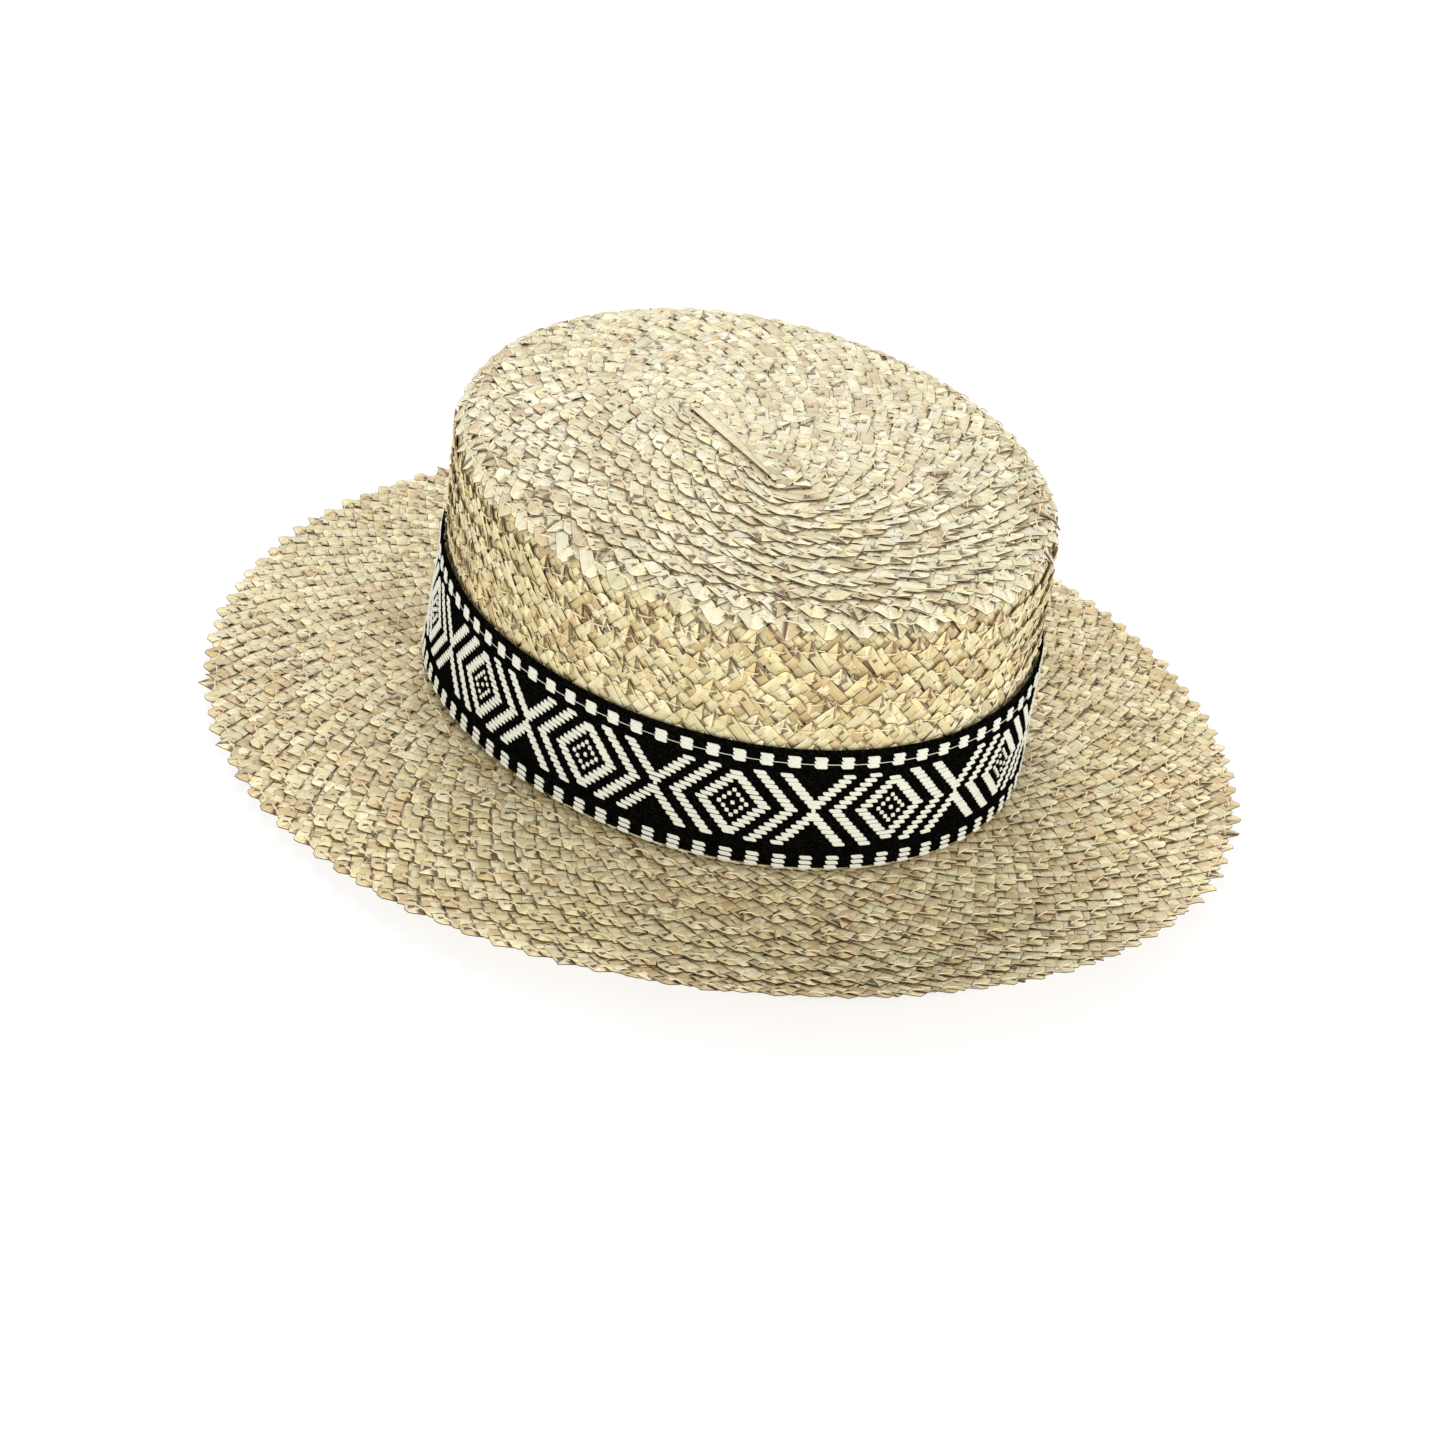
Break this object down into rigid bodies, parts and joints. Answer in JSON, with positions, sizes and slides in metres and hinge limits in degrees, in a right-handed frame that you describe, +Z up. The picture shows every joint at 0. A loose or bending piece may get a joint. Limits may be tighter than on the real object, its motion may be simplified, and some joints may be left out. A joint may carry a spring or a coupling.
{
  "type": "boater hat",
  "caption": "Straw boater hat with an oval flat-topped crown of overlapping plait rows, a wide flat brim and a woven black and white ribbon round the crown's foot.",
  "frame": {"origin": "middle of the hat on the surface that it rests on", "axes": "+Z up through the crown, +Y along the hat's length towards the back, +X to the hat's side"},
  "size_m": [0.3162, 0.333, 0.0917],
  "materials": {
    "straw_pale": "pale natural split straw, woven in a flat plait, dry with a faint sheen",
    "straw_golden": "golden natural split straw, woven in a flat plait, dry with a faint sheen",
    "straw_brim": "greyer natural split straw, woven in a flat plait, dry with a faint sheen",
    "ribbon": "black woven ribbon with raised off-white weft floats in a geometric repeat"
  },
  "bodies": {
    "root": {"crown_tip": "straw_pale", "crown_side": "straw_golden", "brim": "straw_brim", "hat_band": "ribbon"}
  },
  "joints": []
}
